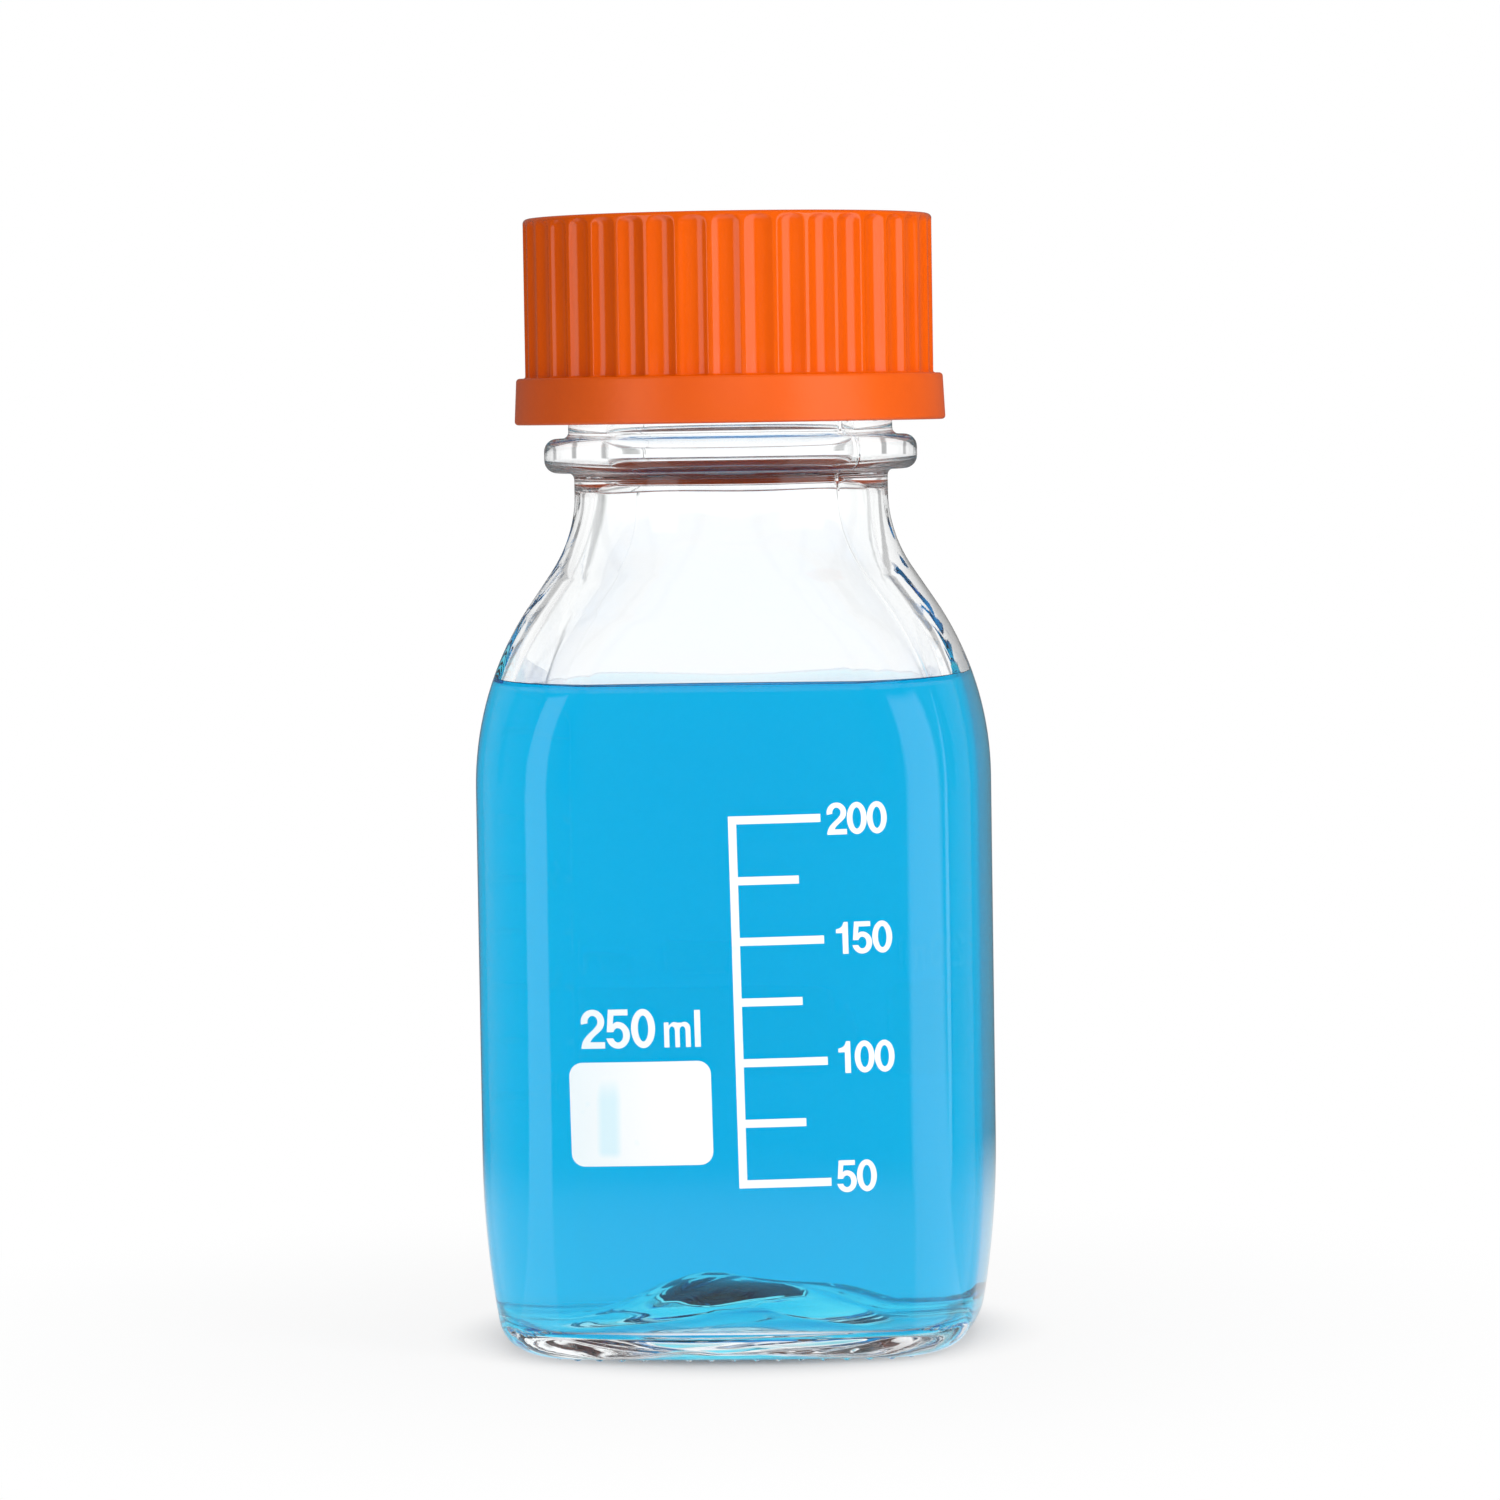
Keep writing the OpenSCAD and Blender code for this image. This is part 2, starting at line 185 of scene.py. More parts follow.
innerHalf = body["half"] - inside["wall"]
innerCorner = body["cornerR"] - inside["wall"]
slopeAngle = math.radians(shoulder["slope"])
outerStart = (neck["r"] + shoulder["hollowR"] * (1 - math.cos(slopeAngle)),
              shoulder["z"] - shoulder["hollowR"] * math.sin(slopeAngle))
innerHollow = shoulder["hollowR"] + inside["wall"]
innerStartX = inside["neckR"] + innerHollow * (1 - math.cos(slopeAngle))
boreZ = outerStart[1] + innerHollow * math.sin(slopeAngle) - (
    inside["wall"] + (innerStartX - outerStart[0]) * math.cos(slopeAngle)) / math.sin(slopeAngle)

outerShoulder = shoulderSections(shoulderLine(
    body["half"], neck["r"], shoulder["z"], shoulder["hollowR"], shoulder["roundR"], 12, 18),
    neck["r"], body["half"], body["cornerR"])
outerFoot = footSections(footLine(body["half"], body["waistR"], body["heelR"], 0, 8, 12), body["half"], body["cornerR"])
innerShoulder = shoulderSections(shoulderLine(
    innerHalf, inside["neckR"], boreZ, innerHollow, shoulder["roundR"] - inside["wall"], 12, 18),
    inside["neckR"], innerHalf, innerCorner)
innerFoot = footSections(footLine(
    innerHalf, body["waistR"] - inside["wall"], inside["floorR"], inside["baseT"], 8, 10), innerHalf, innerCorner)
innerFloor = domeSections(innerFoot[-1], inside["floorRise"], 12)


def footColumns():
    # angles that follow the length of the standing ring, four of six close together on each bump
    fine = np.linspace(0, 2 * math.pi, 7201)
    middle = outerFoot[-1][0] - body["footW"] / 2
    ring = sectionRing(middle, outerFoot[-1][2] - body["footW"] / 2, 0, fine)
    length = np.concatenate([[0], np.cumsum(np.linalg.norm(np.diff(ring, axis=0), axis=1))])
    period = length[-1] / foot["bumps"]
    offsets = np.array([-0.42, -0.14, 0.14, 0.42, 1.0, 1.57]) * period / 2.57
    along = (np.arange(foot["bumps"])[:, None] * period + offsets[None, :]).ravel()
    # a few more close together across each mould seam
    across = seam["width"] * np.array([-2.1, -1.3, -0.7, 0, 0.7, 1.3, 2.1])
    seamAt = np.interp(np.radians(seam["angles"]), fine, length)
    along = np.concatenate([along, (seamAt[:, None] + across).ravel()])
    nearest = np.abs((along + period / 2) % period - period / 2)
    along = along % length[-1]
    order = np.argsort(along)
    return np.interp(along[order], length, fine), nearest[order]


columns, bumpDistance = footColumns()


def threadLift(angles, z, startZ, turns):
    # height of a half-round ridge that winds up a cylinder
    lift = np.zeros_like(angles)
    part = np.mod(angles, 2 * math.pi) / (2 * math.pi)
    for turn in range(int(math.ceil(turns)) + 1):
        along = part + turn
        run = np.minimum(along, turns - along)
        height = thread["depth"] * np.minimum(1, 0.15 + 10 * run)
        off = (z - startZ - thread["pitch"] * along) / (thread["width"] / 2)
        bulge = height * np.sqrt(np.maximum(0, 1 - off ** 2))
        lift = np.maximum(lift, np.where(run >= 0, bulge, 0))
    return lift


def seamLift(radius):
    # the fine ridge where the halves of the mould met
    lift = np.zeros_like(columns)
    for angle in seam["angles"]:
        off = (np.mod(columns - math.radians(angle) + math.pi, 2 * math.pi) - math.pi) * radius
        lift += seam["height"] * np.exp(-(off / seam["width"]) ** 2)
    return lift


def ripples(share, markHeight=0.0):
    # a moulded base is chilled unevenly and never lies quite smooth
    x, y = np.cos(columns) * share, np.sin(columns) * share
    uneven = np.sin(5.1 * x + 2.2 * y + 0.6) * np.sin(3.7 * y - 1.9 * x + 1.1)
    uneven += 0.6 * np.sin(9.3 * x - 6.1 * y) * np.cos(7.9 * y)
    ringMark = markHeight * math.exp(-((share * body["half"] - inside["markR"]) / 1.1) ** 2)
    return inside["ripple"] * (1 - share ** 4) * uneven + ringMark


def waves(z):
    # the inside of pressed and blown glass is never quite even
    return 0.09 * np.sin(3 * columns + z / 7.0) * np.sin(z / 9.0 + 1.3) + 0.05 * np.sin(5 * columns - z / 4.6)


# the liquid reaches a little way into the glass, by overlap, so that no film of air shows between them
liquidLook = dict(level=82.25, climb=0.65, overlap=0.05, ior=1.333, density=110.0)
# moulded glass ripples about a centimetre wide, and hardly mirrors where it is wet
glassLook = dict(ior=1.474, tint="#fdfefe", waveSize=14.0, waveHeight=0.06, wetMirror=0.1)


def borosilicateGlass(name, mirror):
    # clear moulded glass: hard bright edges and a faintly wavy surface; where liquid wets it, it hardly mirrors
    material, tree = newMaterial(name)
    place = addNode(tree, "ShaderNodeTexCoord").outputs["Object"]
    wave = addNode(tree, "ShaderNodeTexNoise", {
        "Vector": place, "Scale": perMetre(glassLook["waveSize"]), "Detail": 1.0})
    bump = addNode(tree, "ShaderNodeBump", {
        "Height": wave, "Distance": glassLook["waveHeight"] * mm, "Strength": 0.6})
    glass = addNode(tree, "ShaderNodeBsdfPrincipled", {
        "Base Color": hexColour(glassLook["tint"]), "IOR": glassLook["ior"], "Roughness": 0.0,
        "Transmission Weight": 1.0, "Specular Tint": (mirror, mirror, mirror, 1), "Normal": bump})
    addNode(tree, "ShaderNodeOutputMaterial", {"Surface": glass})
    return material


def bottleRings():
    rings = []
    # underside, from the middle out to the standing ring and its bumps
    outerEdge = outerFoot[-1]
    footTop = foot["bumpH"]
    innerEdge = (outerEdge[0] - body["footW"], footTop, outerEdge[2] - body["footW"])
    rings.append(centrePoint(footTop + body["pushUp"] + ripples(0.0, inside["markH"])[0]))
    for half, z, cornerR in reversed(domeSections(innerEdge, body["pushUp"], 16)):
        rings.append(sectionRing(half, cornerR, z + ripples(half / innerEdge[0], inside["markH"]), columns))
    for off in (-1.0, -0.72, -0.45, -0.22, 0.0, 0.22, 0.45, 0.72, 1.0):
        share = np.maximum(0, 1 - (bumpDistance ** 2 + off ** 2) / foot["bumpR"] ** 2)
        z = footTop - foot["bumpH"] * share ** 0.7
        inset = body["footW"] / 2 - off
        rings.append(sectionRing(outerEdge[0] - inset, outerEdge[2] - inset, z, columns))
    # heel, sides and shoulder
    for half, z, cornerR in reversed(outerFoot[:-1]):
        lifted = z if z >= body["heelR"] else footTop + z * (1 - footTop / body["heelR"])
        rings.append(sectionRing(half, cornerR, lifted, columns))
    for share in (0.25, 0.5, 0.75):
        z = body["waistZ"] + (outerShoulder[-1][1] - body["waistZ"]) * share
        rings.append(sectionRing(body["half"], body["cornerR"], z, columns, seamLift(40)))
    for half, z, cornerR in reversed(outerShoulder):
        rings.append(sectionRing(half, cornerR, z, columns, seamLift(half) * 0.4))
    # neck, bead and screw finish
    n = neck
    line = [(n["r"], shoulder["z"] + 0.6)]
    line += arcPoints(n["r"] + n["filletR"], n["z"] - n["filletR"], n["filletR"], 180, 90, 4)
    line += arcPoints(n["beadR"] - n["edgeR"], n["z"] + n["edgeR"], n["edgeR"], -90, 0, 7)
    line += arcPoints(n["beadR"] - n["edgeR"], n["topZ"] - n["edgeR"], n["edgeR"], 0, 90, 7)
    line += arcPoints(n["finishR"] + n["filletR"], n["topZ"] + n["filletR"], n["filletR"], 270, 180, 4)
    for r, z in line:
        rings.append(roundRing(r + seamLift(r), z, columns))
    threadTop = thread["endZ"] + thread["width"] / 2
    for z in np.arange(thread["neckZ"] - thread["width"] / 2, threadTop, 0.28):
        rings.append(roundRing(n["finishR"] + threadLift(columns, z, thread["neckZ"], thread["neckTurns"]), z, columns))
    top = [(n["finishR"], threadTop), (n["seatR"], thread["endZ"] + 1.2 * thread["width"]), (n["seatR"], n["lipZ"] - 3)]
    top += arcPoints(n["seatR"] - n["lipEdgeR"], n["lipZ"] - n["lipEdgeR"], n["lipEdgeR"], 0, 90, 5)
    top += arcPoints(n["mouthR"] + n["innerEdgeR"], n["lipZ"] - n["innerEdgeR"], n["innerEdgeR"], 90, 180, 5)
    top += [(n["mouthR"], z) for z in (130, 123, 117, inside["flareZ"])]
    for share in (0.15, 0.3, 0.45, 0.6, 0.75, 0.9):
        spread = (1 - math.cos(math.pi * share)) / 2
        top.append((n["mouthR"] + (inside["neckR"] - n["mouthR"]) * spread,
                    inside["flareZ"] + (boreZ + 0.4 - inside["flareZ"]) * share))
    for r, z in top:
        rings.append(roundRing(r, z, columns))
    # inside of the shoulder, sides and floor
    firstInside = (len(rings) - 1) * len(columns)
    for half, z, cornerR in innerShoulder:
        rings.append(sectionRing(half, cornerR, z, columns, waves(z)))
    for share in (0.8, 0.6, 0.4, 0.2):
        z = body["waistZ"] + (innerShoulder[-1][1] - body["waistZ"]) * share
        rings.append(sectionRing(innerHalf, innerCorner, z, columns, waves(z) * 0.6))
    for half, z, cornerR in innerFoot:
        rings.append(sectionRing(half, cornerR, z, columns))
    for half, z, cornerR in innerFloor:
        rings.append(sectionRing(half, cornerR, z - inside["dapple"] * ripples(half / innerFloor[0][0]), columns))
    rings.append(centrePoint(inside["baseT"] + inside["floorRise"] - inside["dapple"] * ripples(0.0)[0]))
    return rings, firstInside


print("building the glass")
glassRings, firstInside = bottleRings()
bottle = loftObject("glassBottle", glassRings, borosilicateGlass("borosilicateGlass", 1.0), "bottle")
bottle.data.materials.append(borosilicateGlass("wettedGlass", glassLook["wetMirror"]))
for face in bottle.data.polygons:
    if face.index >= firstInside and face.center.z < liquidLook["level"] * mm:
        face.material_index = 1
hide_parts("bottle")


def blueLiquid():
    # dyed water: no surface of its own to see, all its colour comes from its depth
    material, tree = newMaterial("dyedWater")
    mirror = glassLook["wetMirror"]
    water = addNode(tree, "ShaderNodeBsdfPrincipled", {
        "Base Color": (1, 1, 1, 1), "IOR": liquidLook["ior"], "Roughness": 0.0, "Transmission Weight": 1.0,
        "Specular Tint": (mirror, mirror, mirror, 1)})
    dye = addNode(tree, "ShaderNodeVolumeAbsorption", {
        "Color": (0.0, 0.862, 0.9565, 1.0), "Density": liquidLook["density"]})
    addNode(tree, "ShaderNodeOutputMaterial", {"Surface": water, "Volume": dye})
    return material


def liquidRings():
    level, overlap = liquidLook["level"], liquidLook["overlap"]
    straight = [(innerHalf, z, innerCorner) for z in (60.0, 50.0, 40.0, 32.0)]
    sections = innerShoulder + straight + innerFoot + innerFloor
    lower = [s for s in sections if s[1] < level - 0.3]
    upper = [s for s in sections if s[1] >= level - 0.3][::-1]
    walls = np.array([lower[0]] + upper)
    rise = liquidLook["climb"] * (0.5 - 0.5 * np.sin(columns)) ** 1.5
    rimHalf, rimCorner = [np.interp(level + rise, walls[:, 1], walls[:, i]) for i in (0, 2)]
    rings = [centrePoint(level)]
    # the surface climbs the glass at its rim, most at the front
    turns = np.radians((4, 12, 20, 28, 36, 44, 52, 60, 68, 76, 83, 90))
    curl = [(liquidLook["climb"] * (1 - math.sin(t)), 1 - math.cos(t)) for t in turns]
    for inset, lift in [(v, 0.0) for v in (25, 19, 13, 9, 6, 4, 2.6, 1.8)] + curl:
        ringPoints = np.vstack([sectionRing(h - inset, max(0.5, c - inset), 0, columns[k:k + 1])
                                for k, (h, c) in enumerate(zip(rimHalf, rimCorner))])
        away = np.hypot(ringPoints[:, 0], ringPoints[:, 1])
        ringPoints[:, :2] *= (1 + (waves(level) + overlap) * max(0.0, 1 - inset / 2) / away)[:, None]
        ringPoints[:, 2] = level + rise * lift
        rings.append(ringPoints)
    # walls and floor, with the same waves and ripples as the glass
    for half, z, cornerR in lower:
        fade = min(1.0, max(0.0, (z - body["waistZ"]) / 20)) * (1.0 if z > 66 else 0.6)
        drop = overlap if z < inside["baseT"] + inside["floorR"] or half < 20 else 0
        if (half, z, cornerR) in innerFloor:
            drop = overlap + inside["dapple"] * ripples(half / innerFloor[0][0])
        rings.append(sectionRing(half, cornerR, z - drop, columns, waves(z) * fade + overlap))
    rings.append(centrePoint(inside["baseT"] + inside["floorRise"] - overlap - inside["dapple"] * ripples(0.0)[0]))
    return rings


print("filling the bottle")
liquid = loftObject("blueLiquid", liquidRings()[::-1], blueLiquid(), "bottle")
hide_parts("liquid")


cap = dict(r=25.5, topZ=140.05, z=114.45, bandZ=120.25, ceilingZ=138.05, innerR=22.75, rimR=0.6, dish=0.2, dishR=21.6,
           gateDip=0.12, bandR=26.9, bandTaper=0.25, bandEdgeR=0.45, relief=0.5, flutes=40, depth=0.6, land=0.45,
           fluteTopR=1.3, margin=0.18, phase=-1.9, edgeSoftness=0.07)
# the real grain is under 0.1 mm and is drawn coarser, at pit, so that it shows
orangeLook = dict(colour="#ee6000", deep="#e45500", gripRoughness=0.14, bandRoughness=0.36, pit=0.35, pitDepth=0.03,
                  mottle=9.0)


def orangePolypropylene():
    # moulded polypropylene: satin flutes with soft streaks of light, and a band with a fine spark-eroded grain
    material, tree = newMaterial("orangePolypropylene")
    place = addNode(tree, "ShaderNodeTexCoord").outputs["Object"]
    mottle = addNode(tree, "ShaderNodeTexNoise", {
        "Vector": place, "Scale": perMetre(orangeLook["mottle"]), "Detail": 3.0})
    colour = addNode(tree, "ShaderNodeMix", {
        "data_type": "RGBA", 0: mottle, 6: hexColour(orangeLook["deep"]), 7: hexColour(orangeLook["colour"])})
    height = addNode(tree, "ShaderNodeSeparateXYZ", {0: place}).outputs["Z"]
    onBand = addNode(tree, "ShaderNodeMapRange", {
        "Value": height, "From Min": (cap["bandZ"] + 0.3) * mm, "From Max": (cap["bandZ"] - 0.3) * mm})
    roughness = addNode(tree, "ShaderNodeMapRange", {
        "Value": onBand, "To Min": orangeLook["gripRoughness"], "To Max": orangeLook["bandRoughness"]})
    grain = addNode(tree, "ShaderNodeTexNoise", {
        "Vector": place, "Scale": perMetre(orangeLook["pit"]), "Detail": 2.0})
    grainShare = addNode(tree, "ShaderNodeMapRange", {"Value": onBand, "To Min": 0.12, "To Max": 0.6})
    bump = addNode(tree, "ShaderNodeBump", {
        "Height": grain, "Distance": orangeLook["pitDepth"] * mm, "Strength": grainShare})
    plastic = addNode(tree, "ShaderNodeBsdfPrincipled", {
        "Base Color": colour.outputs[2], "Roughness": roughness, "IOR": 1.49, "Specular IOR Level": 0.6,
        "Normal": bump})
    addNode(tree, "ShaderNodeOutputMaterial", {"Surface": plastic})
    return material


def capColumns():
    # angles that stand close together at the edges of the flutes
    step = 2 * math.pi / cap["flutes"]
    halfWidth = math.pi * cap["r"] / cap["flutes"] - cap["land"] / 2
    offsets = np.array([-1.05, -0.99, -0.9, -0.75, -0.5, -0.25, 0, 0.25, 0.5, 0.75, 0.9, 0.99, 1.05]) * halfWidth
    offsets = np.append(offsets, math.pi * cap["r"] / cap["flutes"])
    first = math.radians(270 + cap["phase"]) + step / 2
    angles = (first + np.arange(cap["flutes"])[:, None] * step + offsets[None, :] / cap["r"]).ravel()
    return angles, np.tile(offsets / cap["r"], cap["flutes"])


capAngles, fluteOffset = capColumns()


def fluteRadius(z):
    # distance from the axis to the floor of the flutes, each the side of an upright cylinder with a rounded top
    halfWidth = math.pi * cap["r"] / cap["flutes"] - cap["land"] / 2
    toolR = (halfWidth ** 2 / cap["depth"] + cap["depth"]) / 2
    below = cap["topZ"] - cap["margin"] - z
    if below <= 0:
        return np.full_like(capAngles, 1e3)
    u = min(below, cap["fluteTopR"])
    here = toolR - cap["fluteTopR"] + math.sqrt(cap["fluteTopR"] ** 2 - (cap["fluteTopR"] - u) ** 2)
    centre = cap["r"] + toolR - cap["depth"]
    side = here ** 2 - (centre * np.sin(fluteOffset)) ** 2
    return np.where(side > 0, centre * np.cos(fluteOffset) - np.sqrt(np.maximum(0, side)), 1e3)


def softMin(a, b, width):
    # the lesser of two radii, with the edge between them rounded
    share = np.clip(0.5 + 0.5 * (b - a) / width, 0, 1)
    return b + (a - b) * share - width * share * (1 - share)


def capRings():
    c = cap
    # a slightly dished top with the mark of the moulding gate in its middle
    floorZ = c["topZ"] - c["dish"]
    rings = [centrePoint(floorZ - c["gateDip"])]
    rim = [(1.1, floorZ - c["gateDip"]), (1.3, floorZ - 0.1), (1.5, floorZ - 0.02)]
    rim += [(r, floorZ) for r in (1.7, 1.9, 8, 16, c["dishR"] - 0.3)]
    rim += [(c["dishR"] + 0.5 * t, c["topZ"] - c["dish"] * (1 + math.cos(math.pi * t)) / 2)
            for t in (0, 0.2, 0.4, 0.6, 0.8, 1)]
    rim += [(23.6, c["topZ"]), (24.5, c["topZ"])]
    rim += arcPoints(c["r"] - c["rimR"], c["topZ"] - c["rimR"], c["rimR"], 90, 0, 8)
    fluteTop = c["topZ"] - c["margin"]
    rows = [(r, z) for r, z in rim if z > fluteTop]
    depths = [0.04, 0.08, 0.13, 0.18, 0.24, 0.31, 0.4, 0.5, 0.62, 0.75, 0.88, 1.0, 1.4, 4, 8, 12, 16]
    for z in [fluteTop - d for d in depths] + [c["bandZ"] + 0.25, c["bandZ"] + 0.1]:
        inRim = max(0.0, z - (c["topZ"] - c["rimR"]))
        rows.append((c["r"] - c["rimR"] + math.sqrt(c["rimR"] ** 2 - inRim ** 2), z))
    for r, z in rows:
        spread = 0.25 - max(0, z - c["bandZ"])
        lift = 0.12 * max(0.0, spread / 0.25) ** 2
        fluted = softMin(np.full_like(capAngles, r), fluteRadius(z), c["edgeSoftness"])
        rings.append(roundRing(fluted + lift, z, capAngles))
    # ledge and band
    ledge = softMin(np.full_like(capAngles, c["r"]), fluteRadius(c["bandZ"]), c["edgeSoftness"])
    topR = c["bandR"] - c["bandTaper"]
    rings.append(roundRing(ledge + 0.25, c["bandZ"], capAngles))
    rings.append(roundRing(np.maximum(ledge + 0.3, topR - c["bandEdgeR"] - 0.25), c["bandZ"], capAngles))
    line = arcPoints(topR - c["bandEdgeR"], c["bandZ"] - c["bandEdgeR"], c["bandEdgeR"], 90, 0, 6)
    line += [(c["bandR"] - c["bandTaper"] / 2, (c["bandZ"] + c["z"]) / 2)]
    line += arcPoints(c["bandR"] - c["bandEdgeR"], c["z"] + c["bandEdgeR"], c["bandEdgeR"], 0, -90, 6)
    wide = c["innerR"] + c["relief"]
    line += [(wide + 0.5, c["z"]), (wide + 0.15, c["z"] + 0.04), (wide, c["z"] + 0.3), (wide, c["bandZ"] - 1)]
    line += [(c["innerR"], c["bandZ"] - 0.6)]
    for r, z in line:
        rings.append(roundRing(r, z, capAngles))
    low = thread["capZ"] - thread["width"] / 2
    high = thread["capZ"] + thread["pitch"] * thread["capTurns"] + thread["width"] / 2
    for z in np.arange(low, high + 0.2, 0.32):
        ridge = threadLift(capAngles, z, thread["capZ"], thread["capTurns"])
        rings.append(roundRing(c["innerR"] - ridge, z, capAngles))
    for r, z in [(c["innerR"], 133), (c["innerR"], c["ceilingZ"] - 0.4), (c["innerR"] - 0.15, c["ceilingZ"] - 0.1),
                 (c["innerR"] - 0.5, c["ceilingZ"]), (15, c["ceilingZ"]), (7, c["ceilingZ"])]:
        rings.append(roundRing(r, z, capAngles))
    rings.append(centrePoint(c["ceilingZ"]))
    return rings


print("building the cap")
orangePlastic = orangePolypropylene()
screwCap = loftObject("screwCap", capRings()[::-1], orangePlastic, "cap")
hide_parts("screw_cap")


ring = dict(insideR=18.95, outsideR=20.15, z=130.25, topZ=136.75, spoutR=15.0, lipZ=135.8, gap=0.05,
            footEdgeR=0.25, topEdgeR=0.9, spoutEdgeR=0.45)
linerSize = dict(r=22.15, z=136.8, t=1.2, edgeR=0.35, middleR=15)
# the fleck is drawn about a millimetre wide, since the real one is too fine to show
linerLook = dict(colour="#efede6", roughness=0.55, fleck=1.2)


def latheObject(name, line, material, bodyName, count):
    angles = np.linspace(0, 2 * math.pi, count, endpoint=False)
    rings = [centrePoint(z) if r == 0 else roundRing(r, z, angles) for r, z in line]
    if line[0][0] != 0:
        rings.append(rings[0])  # a ring with a hole closes on itself
    return loftObject(name, rings, material, bodyName)


def pouringRing():
    r = ring
    line = [(r["insideR"], r["z"] + 0.3), (r["insideR"] + 0.3, r["z"])]
    line += arcPoints(r["outsideR"] - r["footEdgeR"], r["z"] + r["footEdgeR"], r["footEdgeR"], -90, 0, 4)
    line += arcPoints(r["outsideR"] - r["topEdgeR"], r["topZ"] - r["topEdgeR"], r["topEdgeR"], 0, 90, 7)
    line += arcPoints(r["spoutR"] + r["spoutEdgeR"], r["topZ"] - r["spoutEdgeR"], r["spoutEdgeR"], 90, 180, 6)
    # under the lip and back up beside the glass
    line += [(r["spoutR"], r["lipZ"] - 1.6), (r["spoutR"] + 0.15, r["lipZ"] - 1.8)]
    line += [(neck["mouthR"] - r["gap"], r["lipZ"] - 1.8)]
    line += [(neck["mouthR"] - r["gap"], r["lipZ"] + r["gap"]), (r["insideR"], r["lipZ"] + r["gap"])]
    return line


def sealLiner():
    s = linerSize
    line = [(0, s["z"]), (s["middleR"], s["z"])]
    line += arcPoints(s["r"] - s["edgeR"], s["z"] + s["edgeR"], s["edgeR"], -90, 0, 4)
    line += arcPoints(s["r"] - s["edgeR"], s["z"] + s["t"] - s["edgeR"], s["edgeR"], 0, 90, 4)
    return line + [(s["middleR"], s["z"] + s["t"]), (0, s["z"] + s["t"])]


def whiteSilicone():
    # moulded silicone sheet: chalky, dull, with the faintest fleck
    material, tree = newMaterial("whiteSilicone")
    place = addNode(tree, "ShaderNodeTexCoord").outputs["Object"]
    fleck = addNode(tree, "ShaderNodeTexNoise", {"Vector": place, "Scale": perMetre(linerLook["fleck"])})
    bump = addNode(tree, "ShaderNodeBump", {"Height": fleck, "Distance": 0.05 * mm, "Strength": 0.3})
    rubber = addNode(tree, "ShaderNodeBsdfPrincipled", {
        "Base Color": hexColour(linerLook["colour"]), "Roughness": linerLook["roughness"], "IOR": 1.41, "Normal": bump})
    addNode(tree, "ShaderNodeOutputMaterial", {"Surface": rubber})
    return material


print("building the pouring ring and the liner")
spout = latheObject("pouringRing", pouringRing(), orangePlastic, "bottle", 144)
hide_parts("pouring_ring")
liner = latheObject("sealLiner", sealLiner(), whiteSilicone(), "liner", 144)
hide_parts("seal_liner")


scaleMarks = dict(x=1.9, z=22.8, step=7.33, marks=7, lineW=0.98, long=11.1, short=8.3, turn=0.9)
field = dict(x=-10.2, z=31.6, w=17.2, h=12.6, r=1.6)
numerals = dict(height=3.84, advance=0.625)
numbers = [("200", 13.28, 64.7), ("150", 13.5, 50.3), ("100", 13.36, 35.9), ("50", 13.2, 21.5)]
volume = dict(text="250", x=-17.2, z=39.6, height=4.7, advance=0.65, unitX=-7.1, barX=-3.4)
# thickness stands out of the glass and sink goes into it; patch is the width of a thinner spot in the ink; the streak
# is a painted streak of light in the marking field, left, right, low and high in millimetres
printLook = dict(thickness=0.08, sink=0.02, colour="#fdfeff", shade="#dcf5fd", roughness=0.4, patch=6.0,
                 paintedLightStreak=(-16.4, -12.2, 25.4, 37.2), streakEdge=1.5)


def ellipse(cx, cy, rx, ry, start, end, steps):
    return [(cx + rx * math.cos(math.radians(start + (end - start) * i / steps)),
             cy + ry * math.sin(math.radians(start + (end - start) * i / steps))) for i in range(steps + 1)]


def bend(a, b, c, d, steps):
    # cubic curve from a to d, without its first point
    out = []
    for i in range(1, steps + 1):
        t = i / steps
        w = ((1 - t) ** 3, 3 * t * (1 - t) ** 2, 3 * t * t * (1 - t), t ** 3)
        out.append(tuple(sum(w[k] * p[j] for k, p in enumerate((a, b, c, d))) for j in (0, 1)))
    return out


# outlines of the figures in a box one unit high
figures = {
    "0": [ellipse(0.31, 0.5, 0.31, 0.505, 0, 360, 40)[:-1], ellipse(0.31, 0.5, 0.135, 0.335, 0, 360, 32)[:-1]],
    "1": [[(0.2, 0), (0.375, 0), (0.375, 1.0), (0.24, 1.0)]
          + bend((0.24, 1.0), (0.22, 0.86), (0.14, 0.79), (0.0, 0.78), 8) + [(0.0, 0.655), (0.2, 0.655)]],
    "2": [ellipse(0.305, 0.69, 0.305, 0.315, 192, -28, 24)
          + bend((0.574, 0.542), (0.5, 0.4), (0.3, 0.33), (0.235, 0.165), 10) + [(0.615, 0.165), (0.615, 0), (0, 0)]
          + bend((0, 0), (0.01, 0.26), (0.18, 0.36), (0.33, 0.5), 10)
          + ellipse(0.305, 0.69, 0.13, 0.155, -38, 192, 20)],
    "5": [[(0.065, 1.0), (0.57, 1.0), (0.57, 0.845), (0.205, 0.845), (0.18, 0.63)]
          + ellipse(0.305, 0.335, 0.31, 0.345, 98, -162, 28)
          + [(0.0, 0.26), (0.17, 0.26)] + ellipse(0.305, 0.335, 0.135, 0.185, -154, 132, 24)
          + [(0.19, 0.42), (0.02, 0.42)]],
}
